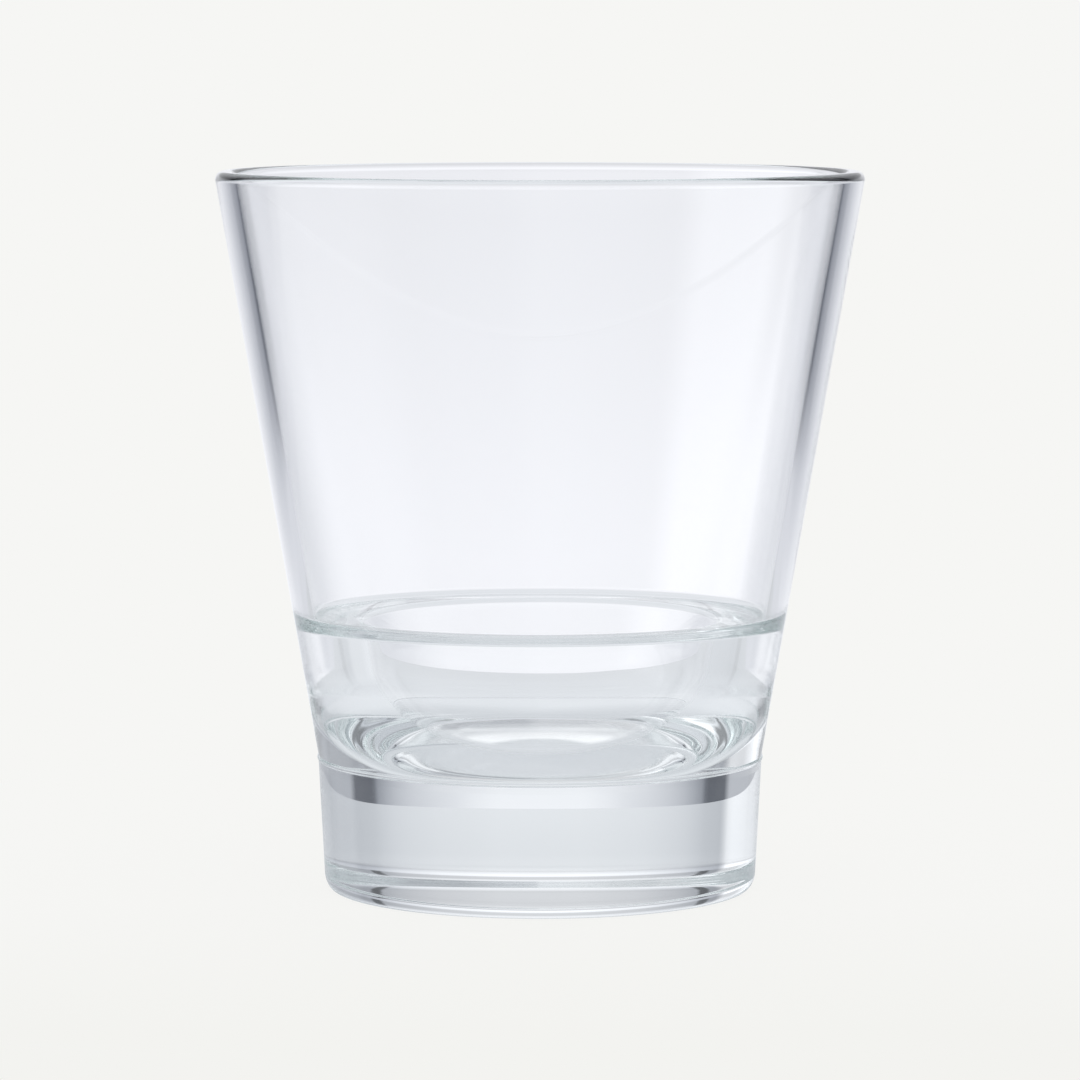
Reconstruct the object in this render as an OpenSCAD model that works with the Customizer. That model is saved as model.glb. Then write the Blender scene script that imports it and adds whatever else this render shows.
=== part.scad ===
// Cortado glass: a clear stacking tumbler, pressed in one piece.
// A tapered bowl runs down to a level stacking ledge. A smaller lower cup is sunk through
// the middle of the ledge, into a heavy solid foot that stands on a narrow bearing ring.
// Millimetres, +Z up, origin on the table under the middle of the foot.

/* [Bowl] */
// Outside diameter of the rim
rim_d = 80; // [72:0.5:90]
// Height of the glass, from the table to the top of the rim
glass_h = 88.7; // [84:0.1:96]
// Slope of the bowl's wall away from upright, in degrees
bowl_taper = 9.9; // [8.5:0.1:11]
// Thickness of the bowl's wall, measured level
wall_t = 2.5; // [2:0.1:3.2]
// Rounding on the outside of the rim
rim_outer_r = 1; // [0.4:0.05:1.2]
// Rounding on the drinking side of the rim
rim_inner_r = 1.1; // [0.4:0.05:1.2]

/* [Stacking ledge] */
// Height of the ledge above the table, which is also the pitch of a stack
ledge_z = 33.9; // [31:0.1:37]
// Rounding in the corner between the bowl's wall and the ledge
ledge_corner_r = 0.4; // [0.2:0.05:0.8]
// Room around the foot of the next glass in a stack, measured level
stack_clearance = 0.95; // [0.5:0.05:1.4]

/* [Lower cup] */
// Diameter of the lower cup's mouth
mouth_d = 43.8; // [40:0.1:47]
// Rounding on the lip where the ledge turns down into the cup
mouth_lip_r = 0.7; // [0.3:0.05:1]
// Slope of the cup's wall away from upright, in degrees
cup_taper = 10; // [8:0.5:13]
// Height of the cup's floor above the table
cup_floor_z = 16.1; // [14:0.1:19]
// Width of the long sweep that carries the cup's wall into its floor
cup_sweep_w = 11.5; // [9:0.5:13]
// Height of that sweep, a quarter of an ellipse
cup_sweep_h = 17.5; // [13:0.5:19]

/* [Foot] */
// Height of the foot, from the table to the top of the mould line
foot_h = 16.7; // [14:0.1:19]
// How far the heel is drawn in where the foot's side turns under
heel_w = 1.3; // [0.6:0.1:2.5]
// Height at which the heel starts to turn under
heel_h = 2.2; // [1:0.1:4]
// Height of the fine raised line where the two halves of the mould met
mould_line_h = 0.6; // [0.4:0.05:1]
// How far the mould line stands out of the foot
mould_line_proud = 0.15; // [0.05:0.05:0.25]

/* [Underside] */
// Width of the flat ring that the glass stands on
bearing_w = 1.6; // [1:0.1:3]
// Depth of the shallow dome inside the ring
dome_depth = 0.5; // [0.3:0.1:1.2]

/* [Hidden] */

// Colour of the clear glass in its thick places
glass_tint = [0.80, 0.87, 0.86];
glass_alpha = 0.45;

// Fineness of the turned surface and of the arcs in its outline
turn_fn = 180;
arc_step_deg = 6;
dome_steps = 10;

// The bowl's wall, outside and in, at any height
function bowl_outer_r(z) = rim_d / 2 - (glass_h - z) * tan(bowl_taper);
function bowl_inner_r(z) = bowl_outer_r(z) - wall_t;

// The ledge, and the foot that another glass of the same size rests on it
ledge_r = bowl_inner_r(ledge_z);
mouth_r = mouth_d / 2;
foot_top_r = bowl_outer_r(foot_h);
foot_base_r = ledge_r - ledge_corner_r - stack_clearance;
foot_line_z = foot_h - mould_line_h;

// The side of the foot, and the quarter ellipse that turns it under
function foot_side_r(z) = foot_base_r + (foot_top_r - foot_base_r) * z / foot_line_z;
heel_centre = [foot_side_r(heel_h) - heel_w, heel_h];

// The lower cup's floor, out to where its wall would reach it without the sweep
cup_depth = ledge_z - cup_floor_z;
cup_floor_r = mouth_r - cup_depth * tan(cup_taper);

// The sweep leaves the wall at this angle on its ellipse, and takes up this much of it.
// It shrinks where the cup is too shallow or its floor too small for it.
sweep_from_deg = atan(-tan(cup_taper) * cup_sweep_h / cup_sweep_w);
sweep_rise = cup_sweep_h * (1 + sin(sweep_from_deg));
sweep_run = cup_sweep_w * cos(sweep_from_deg) - sweep_rise * tan(cup_taper);
sweep_scale = min(1, (cup_depth - 2 * mouth_lip_r) / sweep_rise, cup_floor_r / sweep_run);
sweep_centre = [cup_floor_r - sweep_scale * sweep_run, cup_floor_z + sweep_scale * cup_sweep_h];

// The dome under the foot is a slice of a large sphere
dome_r = heel_centre.x - bearing_w;
dome_sphere_r = (dome_r * dome_r + dome_depth * dome_depth) / (2 * dome_depth);

// The mould line is a slice of a small ring
mould_line_round_r = (mould_line_h * mould_line_h / 4 + mould_line_proud * mould_line_proud)
    / (2 * mould_line_proud);
mould_line_half_deg = asin(mould_line_h / 2 / mould_line_round_r);

function unit(v) = v / norm(v);

// Angle that a path turns through from direction a to direction b, the short way round
function short_turn(a, b) = (b - a) - 360 * round((b - a) / 360);

// Points along an arc of an ellipse, or of a circle where both radii are the same
function arc(centre, rx, ry, from_deg, turn_deg) =
    let (steps = max(2, ceil(abs(turn_deg) / arc_step_deg)))
    [for (i = [0 : steps])
        let (a = from_deg + turn_deg * i / steps)
        centre + [rx * cos(a), ry * sin(a)]];

// Arc that rounds the corner between two straight sides.
// The radius gives way where a side leaves it less room than the rounding needs.
function rounded(before, corner, after, radius, room) =
    let (
        side_in = unit(before - corner),
        side_out = unit(after - corner),
        half = acos(side_in * side_out) / 2,
        r = min(radius, room * tan(half)),
        centre = corner + unit(side_in + side_out) * r / sin(half),
        first = corner + side_in * r / tan(half) - centre,
        last = corner + side_out * r / tan(half) - centre,
        from_deg = atan2(first.y, first.x),
        turn_deg = short_turn(from_deg, atan2(last.y, last.x))
    )
    arc(centre, r, r, from_deg, turn_deg);

// Corners of the outline, each one a radius and a height
foot_top = [foot_top_r, foot_h];
rim_outer = [rim_d / 2, glass_h];
rim_inner = [rim_d / 2 - wall_t, glass_h];
ledge_corner = [ledge_r, ledge_z];
mouth_corner = [mouth_r, ledge_z];
cup_corner = [cup_floor_r, cup_floor_z];
cup_middle = [0, cup_floor_z];

// Shallow dome under the foot, from the axis out to the bearing ring
function dome_path() =
    [for (i = [0 : dome_steps])
        let (r = dome_r * i / dome_steps)
        [r, sqrt(dome_sphere_r * dome_sphere_r - r * r) - dome_sphere_r + dome_depth]];

// Heel, from the bearing ring up to the side of the foot
function heel_path() = arc(heel_centre, heel_w, heel_h, -90, 90);

// Raised line round the top of the foot
function mould_line_path() =
    let (
        middle_z = foot_h - mould_line_h / 2,
        centre = [foot_top_r + mould_line_proud - mould_line_round_r, middle_z]
    )
    arc(centre, mould_line_round_r, mould_line_round_r, -mould_line_half_deg, 2 * mould_line_half_deg);

// Fire-polished rim: its outside corner, then its drinking side
function rim_outside_path() = rounded(foot_top, rim_outer, rim_inner, rim_outer_r, wall_t / 2);
function rim_inside_path() = rounded(rim_outer, rim_inner, ledge_corner, rim_inner_r, wall_t / 2);

// Ledge, from the bowl's wall in to the lip of the lower cup
function ledge_path() =
    concat(
        rounded(rim_inner, ledge_corner, mouth_corner, ledge_corner_r, (ledge_r - mouth_r) / 2),
        rounded(ledge_corner, mouth_corner, cup_corner, mouth_lip_r, (ledge_r - mouth_r) / 2)
    );

// Lower cup, down its wall and in to the middle of its floor
function cup_path() =
    concat(
        arc(sweep_centre, sweep_scale * cup_sweep_w, sweep_scale * cup_sweep_h,
            sweep_from_deg, -90 - sweep_from_deg),
        [cup_middle]
    );

// What the glass holds when filled to the brim, summed over slices of the inside
function slice_volume(a, b) = PI / 3 * (a.y - b.y) * (a.x * a.x + a.x * b.x + b.x * b.x);
function hollow_volume(path) =
    let (slices = [for (i = [1 : len(path) - 1]) slice_volume(path[i - 1], path[i])])
    slices * [for (s = slices) 1];

inside_path = concat(rim_inside_path(), ledge_path(), cup_path());
echo(brimful_mm3 = hollow_volume(inside_path));

// The whole glass is one pressed piece, turned from its outline
module tumbler() {
    color(glass_tint, glass_alpha)
        rotate_extrude($fn = turn_fn)
            polygon(concat(
                dome_path(),
                heel_path(),
                mould_line_path(),
                rim_outside_path(),
                inside_path
            ));
}

tumbler();
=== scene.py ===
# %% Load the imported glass
import math

import bmesh
import bpy
from mathutils import Matrix, Vector


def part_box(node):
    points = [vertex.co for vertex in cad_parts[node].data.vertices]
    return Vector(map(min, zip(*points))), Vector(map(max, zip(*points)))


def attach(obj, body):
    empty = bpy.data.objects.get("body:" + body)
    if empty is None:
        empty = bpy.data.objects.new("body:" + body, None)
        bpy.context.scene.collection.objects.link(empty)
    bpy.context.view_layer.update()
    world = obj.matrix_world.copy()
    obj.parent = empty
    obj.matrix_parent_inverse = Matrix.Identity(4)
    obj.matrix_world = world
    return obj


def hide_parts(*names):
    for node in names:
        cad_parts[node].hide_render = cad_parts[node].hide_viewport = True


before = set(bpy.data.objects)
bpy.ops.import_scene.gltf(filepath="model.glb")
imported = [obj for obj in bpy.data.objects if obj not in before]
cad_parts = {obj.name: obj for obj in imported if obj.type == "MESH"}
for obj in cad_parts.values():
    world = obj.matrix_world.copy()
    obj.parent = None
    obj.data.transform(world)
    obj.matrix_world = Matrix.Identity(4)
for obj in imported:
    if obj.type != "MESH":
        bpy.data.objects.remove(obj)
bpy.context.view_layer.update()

MM = 0.001
NODE = "tumbler"
low_corner, high_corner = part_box(NODE)
print("CAD node", NODE, "stands", round((high_corner[2] - low_corner[2]) / MM, 2), "mm tall")

# %% [markdown]
# # The glass
# A cortado glass is pressed: a gob of hot glass drops into a mould, and a plunger pushes it up
# the walls. The plunger leaves the smooth inside, with a level ledge that the next glass in a
# stack stands on and a smaller cup below it. The mould leaves the tapered outside, the solid
# foot and a fine raised line where the mould's two halves met. A flame then rounds the rim.
# Clear glass shows every error of its surface twice, once on the way in and once on the way
# out, so a coarse mesh from a CAD file won't do. The outline is drawn again here with true arcs
# and turned about its axis in fine steps. Its sizes are those of the CAD solid, but the corner of
# the ledge and the lip of the lower cup are softer, as soft as they look in the photograph.

# %% Sizes of the outline, in metres
RIM_R = 40.0 * MM
GLASS_H = high_corner[2]
BOWL_TAPER = math.radians(9.9)
WALL = 2.5 * MM
RIM_OUTER_ROUND = 1.0 * MM
RIM_INNER_ROUND = 1.1 * MM
LEDGE_Z = 33.9 * MM
LEDGE_CORNER_ROUND = 1.1 * MM
FOOT_INSET = 1.35 * MM
MOUTH_R = 21.9 * MM
MOUTH_LIP_ROUND = 1.0 * MM
CUP_TAPER = math.radians(10)
CUP_FLOOR_Z = 16.1 * MM
CUP_SWEEP_W = 11.5 * MM
CUP_SWEEP_H = 17.5 * MM
FOOT_H = 16.7 * MM
HEEL_W = 1.3 * MM
HEEL_H = 2.2 * MM
MOULD_LINE_H = 0.6 * MM
MOULD_LINE_PROUD = 0.15 * MM
BEARING_W = 1.6 * MM
DOME_DEPTH = 0.5 * MM


def bowl_outer_r(z):
    """Outside radius of the bowl's wall at a height."""
    return RIM_R - (GLASS_H - z) * math.tan(BOWL_TAPER)


# %% Sizes that follow from them
LEDGE_R = bowl_outer_r(LEDGE_Z) - WALL
FOOT_TOP_R = bowl_outer_r(FOOT_H)
FOOT_BASE_R = LEDGE_R - FOOT_INSET
FOOT_LINE_Z = FOOT_H - MOULD_LINE_H
HEEL_SIDE_R = FOOT_BASE_R + (FOOT_TOP_R - FOOT_BASE_R) * HEEL_H / FOOT_LINE_Z
HEEL_CENTRE_R = HEEL_SIDE_R - HEEL_W
DOME_R = HEEL_CENTRE_R - BEARING_W
CUP_FLOOR_R = MOUTH_R - (LEDGE_Z - CUP_FLOOR_Z) * math.tan(CUP_TAPER)
print("ledge", round(LEDGE_R / MM, 2), "mm and foot", round(FOOT_BASE_R / MM, 2), "mm from the axis")

# %% [markdown]
# ## A pen for the outline
# The outline lies in the XZ plane: X is the distance from the axis and Z the height. A pen draws
# it with two operators. Extruding the last vertex makes a straight stretch, and spinning the last
# vertex about a centre makes an arc. Smooth shading averages the normals of neighbouring faces, so
# a long straight stretch beside an arc would look slightly bent all along its length. A pair of
# guard points close to each end keeps that to a hair's breadth.

# %% Straight stretches
GUARD_STEPS = (0.05 * MM, 0.2 * MM)
GUARD_SHARE = 1 / 4


def extrude_to(bm, vertex, point):
    """Extrudes one vertex to a point and returns the new end."""
    made = bmesh.ops.extrude_vert_indiv(bm, verts=[vertex])
    end = made["verts"][0]
    end.co = point
    return end


def line_to(bm, vertex, r, z):
    """Draws a straight stretch with guard points near both ends."""
    start, end = vertex.co.copy(), Vector((r, 0, z))
    length = (end - start).length
    guards = [step for step in GUARD_STEPS if step < length * GUARD_SHARE]
    for reach in guards + [length - step for step in reversed(guards)] + [length]:
        vertex = extrude_to(bm, vertex, start.lerp(end, reach / length))
    return vertex


# %% Arcs and rounded corners
ARC_STEP = math.radians(4)
SWEEP_STEP = math.radians(2)
LEAST_STEPS = 3


def arc_about(bm, vertex, r, z, turn, step=ARC_STEP):
    """Draws an arc about a centre, turning from +X towards +Z where turn is positive."""
    made = bmesh.ops.spin(
        bm, geom=[vertex], cent=(r, 0, z), axis=(0, -1, 0), angle=turn,
        steps=max(LEAST_STEPS, math.ceil(abs(turn) / step)), use_merge=False,
    )
    return next(part for part in made["geom_last"] if isinstance(part, bmesh.types.BMVert))


def oval_about(bm, vertex, r, z, stretch, turn, step=ARC_STEP):
    """Draws an upright oval arc: squashes the start, turns it and stretches what it drew."""
    vertex.co.z = z + (vertex.co.z - z) / stretch
    before = set(bm.verts) - {vertex}
    end = arc_about(bm, vertex, r, z, turn, step)
    drawn = [v for v in bm.verts if v not in before]
    bmesh.ops.scale(bm, vec=(1, 1, stretch), space=Matrix.Translation((0, 0, -z)), verts=drawn)
    return end


def corner_to(bm, vertex, corner, after, radius):
    """Draws straight towards a corner and rounds it, ready to go on to the point after it."""
    here = Vector((vertex.co.x, vertex.co.z))
    corner, after = Vector(corner), Vector(after)
    side_in, side_out = (here - corner).normalized(), (after - corner).normalized()
    half = side_in.angle(side_out) / 2
    centre = corner + (side_in + side_out).normalized() * radius / math.sin(half)
    start = corner + side_in * radius / math.tan(half)
    left_turn = side_in.cross(side_out) < 0
    turn = (math.pi - 2 * half) * (1 if left_turn else -1)
    vertex = line_to(bm, vertex, *start)
    return arc_about(bm, vertex, *centre, turn)


# %% [markdown]
# ## Drawing the outline
# The pen starts on the axis under the foot and goes round the way the glass is seen: out over the
# shallow dome of the underside, across the ring it stands on, round the heel, up the foot, over
# the mould line, up the bowl, over the rim, down the inside to the ledge, over the lip and down
# into the lower cup. The heel and the sweep at the bottom of the cup are taller than they are
# wide, so their arcs are stretched upwards.

# %% Underside, heel and foot
DOME_STEPS = 12
LINE_STEPS = 12
bm = bmesh.new()
pen = bm.verts.new((0, 0, DOME_DEPTH))
dome_sphere_r = (DOME_R ** 2 + DOME_DEPTH ** 2) / (2 * DOME_DEPTH)
dome_turn = math.asin(DOME_R / dome_sphere_r)
pen = arc_about(bm, pen, 0, DOME_DEPTH - dome_sphere_r, -dome_turn, dome_turn / DOME_STEPS)
pen = line_to(bm, pen, HEEL_CENTRE_R, 0)
pen = oval_about(bm, pen, HEEL_CENTRE_R, HEEL_H, HEEL_H / HEEL_W, math.pi / 2)
pen = line_to(bm, pen, FOOT_TOP_R, FOOT_LINE_Z)
line_round_r = (MOULD_LINE_H ** 2 / 4 + MOULD_LINE_PROUD ** 2) / (2 * MOULD_LINE_PROUD)
line_turn = 2 * math.asin(MOULD_LINE_H / 2 / line_round_r)
line_centre_r = FOOT_TOP_R + MOULD_LINE_PROUD - line_round_r
line_centre_z = FOOT_H - MOULD_LINE_H / 2
pen = arc_about(bm, pen, line_centre_r, line_centre_z, line_turn, line_turn / LINE_STEPS)
print("outline so far", len(bm.verts), "points, up to z", round(pen.co.z / MM, 2), "mm")

# %% Bowl, rim and ledge
rim_outer = (RIM_R, GLASS_H)
rim_inner = (RIM_R - WALL, GLASS_H)
ledge_corner = (LEDGE_R, LEDGE_Z)
mouth_corner = (MOUTH_R, LEDGE_Z)
cup_corner = (CUP_FLOOR_R, CUP_FLOOR_Z)
pen = corner_to(bm, pen, rim_outer, rim_inner, RIM_OUTER_ROUND)
pen = corner_to(bm, pen, rim_inner, ledge_corner, RIM_INNER_ROUND)
pen = corner_to(bm, pen, ledge_corner, mouth_corner, LEDGE_CORNER_ROUND)
pen = corner_to(bm, pen, mouth_corner, cup_corner, MOUTH_LIP_ROUND)
print("outline so far", len(bm.verts), "points, down to z", round(pen.co.z / MM, 2), "mm")

# %% Lower cup
sweep_from = math.atan(-math.tan(CUP_TAPER) * CUP_SWEEP_H / CUP_SWEEP_W)
sweep_turn = -math.pi / 2 - sweep_from
sweep_stretch = CUP_SWEEP_H / CUP_SWEEP_W
sweep_top_z = CUP_FLOOR_Z + CUP_SWEEP_H * (1 + math.sin(sweep_from))
sweep_top_r = MOUTH_R - (LEDGE_Z - sweep_top_z) * math.tan(CUP_TAPER)
sweep_centre = (sweep_top_r - CUP_SWEEP_W * math.cos(sweep_from), CUP_FLOOR_Z + CUP_SWEEP_H)
pen = line_to(bm, pen, sweep_top_r, sweep_top_z)
pen = oval_about(bm, pen, *sweep_centre, sweep_stretch, sweep_turn, SWEEP_STEP)
pen = line_to(bm, pen, 0, CUP_FLOOR_Z)
print("whole outline", len(bm.verts), "points")

# %% [markdown]
# ## Turning the outline
# A full spin with its ends merged turns the outline into a closed skin. The points on the axis
# fall together, so doubles are merged and the faces that lost their area are dissolved, and the
# normals are then made to point out of the glass.

# %% Turn it
TURN_STEPS = 432
SAME_PLACE = 0.0005 * MM
CUBIC_CM = (10 * MM) ** 3
bmesh.ops.spin(
    bm, geom=bm.verts[:] + bm.edges[:], cent=(0, 0, 0), axis=(0, 0, 1),
    angle=2 * math.pi, steps=TURN_STEPS, use_merge=True,
)
bmesh.ops.remove_doubles(bm, verts=bm.verts, dist=SAME_PLACE)
bmesh.ops.dissolve_degenerate(bm, edges=bm.edges, dist=SAME_PLACE)
bmesh.ops.recalc_face_normals(bm, faces=bm.faces)
for face in bm.faces:
    face.smooth = True
glass_volume = bm.calc_volume(signed=True)
open_edges = sum(not edge.is_manifold for edge in bm.edges)
print(round(glass_volume / CUBIC_CM, 2), "cm3,", len(bm.faces), "faces,", open_edges, "open edges")

# %% Put it in the scene
mesh = bpy.data.meshes.new("pressed_tumbler")
bm.to_mesh(mesh)
bm.free()
tumbler = bpy.data.objects.new("pressed_tumbler", mesh)
bpy.context.scene.collection.objects.link(tumbler)
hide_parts(NODE)
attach(tumbler, "root")
print(tumbler.name, "takes the place of", NODE)

# %% [markdown]
# ## Clear soda-lime glass
# The glass bends light at an index of 1.52. A little iron in it takes some red, which only shows
# where the light goes through a lot of glass, so the tint is an absorption inside the body and not
# a colour on the skin. A pressed surface is never quite true: the plunger leaves long soft waves
# and, lower down, a finer ripple where the glass chilled first. Both are a bump of a few microns.

# %% The body of the glass
glass = bpy.data.materials.new("pressed_clear_glass")
glass.use_nodes = True
tree = glass.node_tree
body = tree.nodes["Principled BSDF"]
body.inputs["Base Color"].default_value = (1, 1, 1, 1)
body.inputs["Transmission Weight"].default_value = 1
body.inputs["Roughness"].default_value = 0
body.inputs["IOR"].default_value = 1.52
tint = tree.nodes.new("ShaderNodeVolumeAbsorption")
tint.inputs["Color"].default_value = (0.4, 0.6, 0.57, 1)
tint.inputs["Density"].default_value = 2.0
tree.links.new(tint.outputs["Volume"], tree.nodes["Material Output"].inputs["Volume"])
print("glass with an index of", round(body.inputs["IOR"].default_value, 2))


# %% Helpers for nodes
def feed(tree, socket, value):
    """Puts a number, a colour or another node's output on a socket."""
    if isinstance(value, tuple):
        socket.default_value = (*value, 1)
    elif isinstance(value, (int, float)):
        socket.default_value = value
    else:
        tree.links.new(value, socket)


def node_maths(tree, operation, *values):
    """A Math node on sockets or numbers."""
    made = tree.nodes.new("ShaderNodeMath")
    made.operation = operation
    for socket, value in zip(made.inputs, values):
        feed(tree, socket, value)
    return made.outputs[0]


def grey(level):
    """A neutral grey."""
    return (level, level, level)


def colour_by(tree, value, low, high, stops, interpolation="LINEAR"):
    """A colour ramp over a range of a value; stops are (value, colour)."""
    share = tree.nodes.new("ShaderNodeMapRange")
    share.inputs["From Min"].default_value = low
    share.inputs["From Max"].default_value = high
    tree.links.new(value, share.inputs["Value"])
    ramp = tree.nodes.new("ShaderNodeValToRGB")
    ramp.color_ramp.interpolation = interpolation
    elements = ramp.color_ramp.elements
    while len(elements) < len(stops):
        elements.new(0.5)
    for element, (place, colour) in zip(elements, stops):
        element.position = (place - low) / (high - low)
        element.color = (*colour, 1)
    tree.links.new(share.outputs["Result"], ramp.inputs["Fac"])
    return ramp.outputs["Color"]


# %% Waves and ripple on its skin
RIPPLE_BY_HEIGHT = [(15.3 * MM, 0), (15.9 * MM, 0.7), (19 * MM, 0.7), (27 * MM, 0)]
place = tree.nodes.new("ShaderNodeTexCoord")
waves = tree.nodes.new("ShaderNodeTexNoise")
waves.inputs["Scale"].default_value = 45
waves.inputs["Detail"].default_value = 1
tree.links.new(place.outputs["Object"], waves.inputs["Vector"])
flattened = tree.nodes.new("ShaderNodeMapping")
flattened.inputs["Scale"].default_value = (1, 1, 3)
tree.links.new(place.outputs["Object"], flattened.inputs["Vector"])
ripple = tree.nodes.new("ShaderNodeTexNoise")
ripple.inputs["Scale"].default_value = 130
ripple.inputs["Detail"].default_value = 0
tree.links.new(flattened.outputs["Vector"], ripple.inputs["Vector"])
parts = tree.nodes.new("ShaderNodeSeparateXYZ")
tree.links.new(place.outputs["Object"], parts.inputs[0])
ripple_stops = [(height, grey(strength)) for height, strength in RIPPLE_BY_HEIGHT]
low_down = colour_by(tree, parts.outputs["Z"], 0, GLASS_H, ripple_stops, "EASE")
skin = node_maths(tree, "MULTIPLY_ADD", ripple.outputs["Fac"], low_down, waves.outputs["Fac"])
bump = tree.nodes.new("ShaderNodeBump")
bump.inputs["Distance"].default_value = 0.03 * MM
tree.links.new(skin, bump.inputs["Height"])
tree.links.new(bump.outputs["Normal"], body.inputs["Normal"])
mesh.materials.append(glass)
print("material", glass.name, "on", tumbler.name)

# %% [markdown]
# ## The studio
# Clear glass has no look of its own: it shows what stands round it. Behind the glass hangs a white
# sweep, brightest in the middle, which falls off to dark ends on the left and on the right. It falls
# off faster near the table than above it, and the dark ends hang lower the further they are from
# the middle. They draw the lines along the glass's sides and the two bars in its foot, and the
# stands that hold the sweep draw two short streaks in its base. A soft lamp on the left gives the
# broad sheen on the right side of the bowl, and a pale card below it whitens the right end of the
# foot. On the viewer's side the room is paler on the left than on the right, with a low dark bench
# that shows in the corners of the lower cup. All of this is one world, a colour by direction:
# azimuth from the line of view, times elevation from level.
# The camera sees one plain pale tone instead, so that the background stays clean. Glass shows the
# studio, and the table gets the same soft light from all round.

# %% Directions
DEGREES = math.degrees(1)
world = bpy.data.worlds.new("studio")
bpy.context.scene.world = world
world.use_nodes = True
tree = world.node_tree
tree.nodes.clear()
direction = tree.nodes.new("ShaderNodeTexCoord")
parts = tree.nodes.new("ShaderNodeSeparateXYZ")
tree.links.new(direction.outputs["Generated"], parts.inputs[0])
to_x, to_y, to_z = parts.outputs
azimuth = node_maths(tree, "MULTIPLY", node_maths(tree, "ARCTAN2", to_x, to_y), DEGREES)
elevation = node_maths(tree, "MULTIPLY", node_maths(tree, "ARCSINE", to_z), DEGREES)
print("world", world.name, "reads azimuth and elevation in degrees")


# %% Helpers for the studio
def blend(tree, how, share, first, second):
    """A Mix node on two colours; the share is a socket or a number."""
    made = tree.nodes.new("ShaderNodeMix")
    made.data_type = "RGBA"
    made.blend_type = how
    made.clamp_factor = False
    feed(tree, made.inputs["Factor"], share)
    feed(tree, made.inputs[6], first)
    feed(tree, made.inputs[7], second)
    return made.outputs[2]


def shade(level):
    """A grey that turns a little blue as it gets darker."""
    return (level ** 1.04, level, level ** 0.92)


def by_azimuth(tree, stops, tone=grey):
    """Tones by azimuth, with 0 behind the glass and 180 behind the camera."""
    tones = [(place, tone(level)) for place, level in stops]
    return colour_by(tree, azimuth, -180, 180, tones)


def by_elevation(tree, height, stops):
    """Greys by elevation, with 0 level and 90 straight up."""
    return colour_by(tree, height, -90, 90, [(place, grey(level)) for place, level in stops])


# %% The sweep and the walls beside it
FRONT_LEFT = 0.82
FRONT_RIGHT = 0.58
FOOT_HALF = [
    (7, 0.98), (13, 0.9), (20, 0.8), (25, 0.68), (29, 0.56), (32.5, 0.42),
    (36, 0.27), (36.8, 0.09), (45, 0.09),
]
WALL_HALF = [
    (8, 0.98), (12, 0.91), (15, 0.79), (20, 0.67), (25, 0.58), (29, 0.5), (32.5, 0.38),
    (36, 0.27), (36.8, 0.09), (45, 0.09),
]
EDGE_HALF = [(8, 0.98), (12, 0.92), (15, 0.86), (20, 0.8), (30, 0.72), (45, 0.68)]
HIGH_HALF = [(7, 1), (19, 0.9), (30, 0.7), (37, 0.5), (44, 0.42)]
OPEN_HALF = [(10, 1), (30, 0.97)]


def sweep(half, left_wall, right_wall):
    """One band of the sweep, with its two halves alike, and of the room round it."""
    left = [(-180, FRONT_LEFT), (-135, FRONT_LEFT), (-110, left_wall), (-48, left_wall)]
    right = [(48, right_wall), (85, right_wall), (95, FRONT_RIGHT), (165, FRONT_RIGHT)]
    mirrored = [(-place, level) for place, level in reversed(half)]
    return by_azimuth(tree, left + mirrored + half + right + [(180, FRONT_LEFT)], shade)


at_foot = sweep(FOOT_HALF, left_wall=0.55, right_wall=0.46)
at_wall = sweep(WALL_HALF, left_wall=0.55, right_wall=0.46)
at_edge = sweep(EDGE_HALF, left_wall=0.66, right_wall=0.6)
over_level = sweep(HIGH_HALF, left_wall=1, right_wall=0.52)
open_room = sweep(OPEN_HALF, left_wall=1, right_wall=0.66)
print("sweep with", len(WALL_HALF), "tones in each half behind the wall")

# %% One band above the other
DROOP = 0.08
aside = node_maths(tree, "MULTIPLY", node_maths(tree, "ABSOLUTE", azimuth), DROOP)
drooped = node_maths(tree, "ADD", elevation, aside)
to_wall = by_elevation(tree, drooped, [(-7.8, 0), (-6.8, 1)])
to_foot = by_elevation(tree, elevation, [(-5.2, 0), (-4.6, 1)])
above = by_elevation(tree, elevation, [(-2.6, 0), (-0.2, 1)])
to_open = by_elevation(tree, elevation, [(16, 0), (27, 1)])
around = blend(tree, "MIX", to_wall, at_edge, at_wall)
around = blend(tree, "MIX", to_foot, around, at_foot)
around = blend(tree, "MIX", above, around, over_level)
around = blend(tree, "MIX", to_open, around, open_room)
print("bands mixed by elevation, in", len(tree.nodes), "nodes so far")

# %% The stands and the bench
STANDS = [
    (-40.5, 1), (-39.4, 0.2), (-36.6, 0.2), (-35.8, 1),
    (35.8, 1), (36.6, 0.2), (39.4, 0.2), (40.5, 1),
]
BENCH = [(-180, 0.5), (-125, 0.5), (-110, 1), (110, 1), (125, 0.5), (180, 0.5)]
stands_reach = by_elevation(tree, elevation, [(5.6, 0), (7, 1), (17, 1), (24, 0)])
bench_reach = by_elevation(tree, elevation, [(2, 0), (5, 1), (12, 1), (17, 0)])
around = blend(tree, "MULTIPLY", stands_reach, around, by_azimuth(tree, STANDS))
around = blend(tree, "MULTIPLY", bench_reach, around, by_azimuth(tree, BENCH))
print("stands from", STANDS[4][0], "to", STANDS[-1][0], "degrees on both sides")

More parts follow.
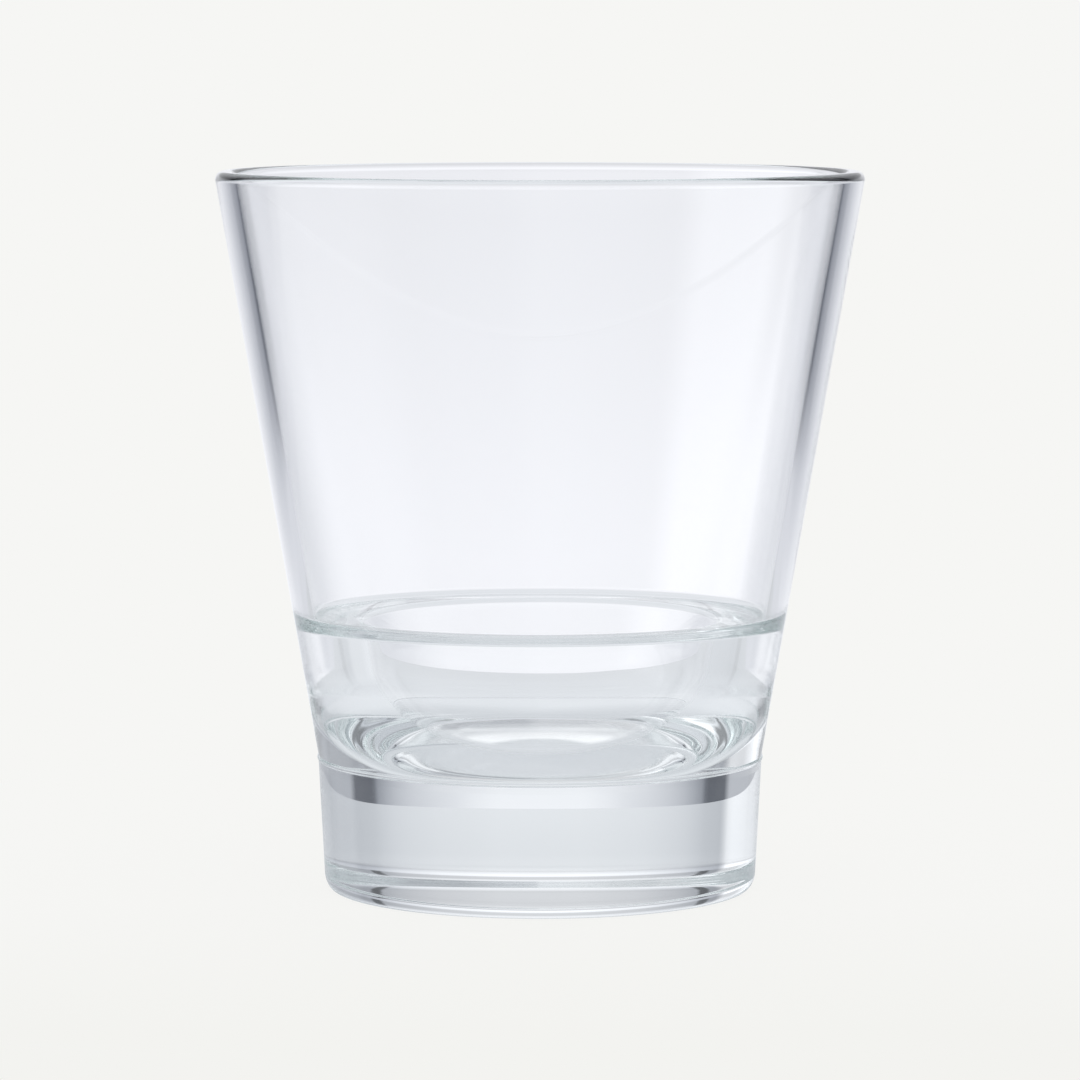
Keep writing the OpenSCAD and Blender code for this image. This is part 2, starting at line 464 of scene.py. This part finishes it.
# %% Brightness from the floor to the ceiling
UPWARD = [
    (-90, 0.7), (-31, 0.72), (-19, 0.86), (-13, 0.97), (-10, 1), (-5.5, 0.985), (-4, 0.93),
    (-2, 0.865), (0, 0.92), (3, 1.1), (5.2, 1.1), (5.8, 1), (7, 0.72), (13, 0.68), (15.5, 0.8),
    (18, 0.92), (26, 0.98), (34, 1), (42, 0.76), (48, 0.7), (66, 0.7), (78, 0.88), (90, 1),
]
studio = blend(tree, "MULTIPLY", 1, around, by_elevation(tree, elevation, UPWARD))
print("brightness by elevation in", len(UPWARD), "tones")

# %% The soft lamp and the pale card
LAMP = 0.75
CARD = 0.27
COOL = (1.01, 1.02, 1.065)


def soft_patch(strength, azimuths, elevations):
    """Light from a patch of the studio, fading in and out between two pairs of angles."""
    across = by_azimuth(tree, list(zip(azimuths, (0, strength, strength, 0))))
    upright = by_elevation(tree, elevation, list(zip(elevations, (0, 1, 1, 0))))
    return blend(tree, "MULTIPLY", 1, across, upright)


lamp = soft_patch(LAMP, azimuths=(-122, -108, -70, -57), elevations=(5, 9, 18, 26))
card = soft_patch(CARD, azimuths=(-80, -72, -51, -46), elevations=(0, 2, 6, 8))
studio = blend(tree, "ADD", 1, studio, lamp)
studio = blend(tree, "ADD", 1, studio, card)
studio = blend(tree, "MULTIPLY", 1, studio, COOL)
print("lamp adds", LAMP, "and card", CARD)


# %% Helpers for shaders
def coloured(tree, kind, colour):
    """A shader of some kind, with a colour that is plain or comes from a socket."""
    made = tree.nodes.new(kind)
    feed(tree, made.inputs["Color"], colour)
    return made.outputs[0]


def mix_shaders(tree, share, first, second):
    """A Mix Shader node."""
    made = tree.nodes.new("ShaderNodeMixShader")
    for socket, source in zip(made.inputs, (share, first, second)):
        tree.links.new(source, socket)
    return made.outputs[0]


# %% What each kind of light sees
PALE = (0.9216, 0.9216, 0.9047)
SOFT_LIGHT = 1.0
in_glass = coloured(tree, "ShaderNodeBackground", studio)
plain = coloured(tree, "ShaderNodeBackground", PALE)
all_round = coloured(tree, "ShaderNodeBackground", grey(SOFT_LIGHT))
rays = tree.nodes.new("ShaderNodeLightPath").outputs
shown = node_maths(tree, "MAXIMUM", rays["Is Glossy Ray"], rays["Is Transmission Ray"])
shown = node_maths(tree, "MAXIMUM", shown, rays["Is Camera Ray"])
picture = mix_shaders(tree, rays["Is Camera Ray"], in_glass, plain)
output = tree.nodes.new("ShaderNodeOutputWorld")
tree.links.new(mix_shaders(tree, shown, all_round, picture), output.inputs["Surface"])
print("world with", len(tree.nodes), "nodes")

# %% [markdown]
# ## The table
# The table is a plain pale sheet that ends a hand's breadth behind the glass. Seen straight it
# mostly glows with the tone of the background, with painted shade a touch darker towards the front,
# and keeps a faint real shadow round the foot. Seen through the glass it glows at a darker painted
# tone, with a painted shadow round the foot, and has a sheen: looked at along its surface, it
# mirrors the sweep and its dark ends. A bright arc of painted light, standing in for light that the
# thick foot gathers from the front, is painted on the table under the foot's back half, and that arc
# is seen through the floor of the cup.

# %% The table
TABLE_BACK = 136 * MM
TABLE_REACH = 2000 * MM
TABLE_DROP = 0.02 * MM
bm = bmesh.new()
bmesh.ops.create_grid(bm, x_segments=1, y_segments=1, size=TABLE_REACH)
bmesh.ops.translate(bm, vec=(0, TABLE_BACK - TABLE_REACH, -TABLE_DROP), verts=bm.verts)
table_mesh = bpy.data.meshes.new("pale_table")
bm.to_mesh(table_mesh)
bm.free()
table = bpy.data.objects.new("pale_table", table_mesh)
bpy.context.scene.collection.objects.link(table)
print("table ends", round(TABLE_BACK / MM), "mm behind the glass")

# %% Places on the table's top, in millimetres
paint = bpy.data.materials.new("pale_table_top")
paint.use_nodes = True
tree = paint.node_tree
tree.nodes.clear()
place = tree.nodes.new("ShaderNodeTexCoord")
flat = tree.nodes.new("ShaderNodeVectorMath")
flat.operation = "LENGTH"
tree.links.new(place.outputs["Object"], flat.inputs[0])
from_axis = node_maths(tree, "DIVIDE", flat.outputs["Value"], MM)
places = tree.nodes.new("ShaderNodeSeparateXYZ")
tree.links.new(place.outputs["Object"], places.inputs[0])
depth = node_maths(tree, "DIVIDE", places.outputs["Y"], MM)
print("material", paint.name, "reads distance from the axis and depth")

# %% Its tone and painted shadow, seen through the glass
TONE_REACH = 200
# Painted shadow: the tone is darker within about 30 mm of the axis, round and under the foot, and
# lighter further out.
TONE_AND_PAINTED_SHADOW_BY_RADIUS = [
    (0, 0.70), (22, 0.67), (30, 0.65), (44, 0.81), (54, 0.82), (66, 0.76),
    (90, 0.77), (140, 0.82), (200, 0.88),
]
# Painted light: a bright arc, a painted caustic, 8.6 to 12 mm from the axis and fainter out to 17
# mm.
PAINTED_CAUSTIC_BY_RADIUS = [(7, 0), (8.6, 1), (12, 1), (14.5, 0.35), (17, 0.35), (19, 0)]
PAINTED_CAUSTIC_LIGHT = (1.2, 1.22, 1.25)


def by_radius(stops, tone):
    """Tones by distance from the axis of the glass."""
    tones = [(radius, tone(level)) for radius, level in stops]
    return colour_by(tree, from_axis, 0, TONE_REACH, tones)


def cool_grey(level):
    """A grey with a little more green and blue."""
    return (level, level + 0.03, level + 0.07)


# The painted caustic lies only behind the axis, under the back half of the foot.
painted_caustic_behind = colour_by(tree, depth, -10, 20, [(1, grey(0)), (6, grey(1))])
painted_caustic = blend(tree, "MULTIPLY", 1, by_radius(PAINTED_CAUSTIC_BY_RADIUS, grey), painted_caustic_behind)
# The table's tone with its painted shadow, and the painted caustic mixed in.
tone_shade_and_caustic = blend(tree, "MIX", painted_caustic, by_radius(TONE_AND_PAINTED_SHADOW_BY_RADIUS, cool_grey), PAINTED_CAUSTIC_LIGHT)
print("bright arc from", PAINTED_CAUSTIC_BY_RADIUS[0][0], "to", PAINTED_CAUSTIC_BY_RADIUS[-1][0], "mm behind the axis")

# %% Its sheen, seen through the glass
# The matt part glows as an emission in that painted tone; the sheen beside it is a real glossy
# reflection.
painted_matt_glow = coloured(tree, "ShaderNodeEmission", tone_shade_and_caustic)
sheen = tree.nodes.new("ShaderNodeBsdfGlossy")
sheen.inputs["Roughness"].default_value = 0.07
grazing = tree.nodes.new("ShaderNodeFresnel")
grazing.inputs["IOR"].default_value = 1.45
through = mix_shaders(tree, grazing.outputs[0], painted_matt_glow, sheen.outputs[0])
print("sheen with a roughness of", round(sheen.inputs["Roughness"].default_value, 2))

# %% The table's top, seen straight
FRONT_PAINTED_SHADE = (0.8963, 0.8963, 0.8714)
NEAR_SHADE = 0.05
SHADE_BY_RADIUS = [(0, NEAR_SHADE), (40, NEAR_SHADE), (120, 0)]
# Painted shade: the tone falls off a touch darker towards the front. The camera sees it as a glow,
# an emission, with a small share of a diffuse copy near the glass that takes a real shadow.
tone = colour_by(tree, depth, -140, 0, [(-100, FRONT_PAINTED_SHADE), (-15, PALE)])
glow_with_painted_shade = coloured(tree, "ShaderNodeEmission", tone)
shaded = coloured(tree, "ShaderNodeBsdfDiffuse", tone)
straight = mix_shaders(tree, by_radius(SHADE_BY_RADIUS, grey), glow_with_painted_shade, shaded)
rays = tree.nodes.new("ShaderNodeLightPath").outputs
top = mix_shaders(tree, rays["Is Camera Ray"], through, straight)
output = tree.nodes.new("ShaderNodeOutputMaterial")
tree.links.new(top, output.inputs["Surface"])
table_mesh.materials.append(paint)
print("shadow of", NEAR_SHADE, "out to", SHADE_BY_RADIUS[-1][0], "mm from the axis")

# %% [markdown]
# ## The camera
# The photograph was taken from a long way off for so small a thing, with a long lens, from a little
# above the rim: the rim is a thin ellipse, and the ledge and foot, lower down, are rounder ones.

# %% The camera
VIEW_DISTANCE = 688.6 * MM
VIEW_HEIGHT = 108.3 * MM
VIEW_TILT = math.radians(5.405)
LENS = 186.67
SENSOR = 36
NEAREST_SEEN = 10 * MM
camera_data = bpy.data.cameras.new("camera")
camera_data.sensor_fit = "HORIZONTAL"
camera_data.sensor_width = SENSOR
camera_data.lens = LENS
camera_data.clip_start = NEAREST_SEEN
camera = bpy.data.objects.new("camera", camera_data)
camera.location = (0, -VIEW_DISTANCE, VIEW_HEIGHT)
camera.rotation_euler = (math.pi / 2 - VIEW_TILT, 0, 0)
bpy.context.scene.collection.objects.link(camera)
bpy.context.scene.camera = camera
bpy.context.scene.view_settings.view_transform = "Standard"
print("camera", round(VIEW_DISTANCE / MM), "mm away")

# %% [markdown]
# ## Enough bounces
# In the thick foot and along the walls, light is turned back at the skin again and again before it
# finds a way out. Cycles stops after a few such turns and leaves black streaks there, where real
# glass shows pale green ones. With more bounces allowed, the light gets out.

# %% Bounces
TURNS_IN_GLASS = 64
cycles = bpy.context.scene.cycles
cycles.max_bounces = cycles.glossy_bounces = cycles.transmission_bounces = TURNS_IN_GLASS
print("light may turn", cycles.max_bounces, "times")
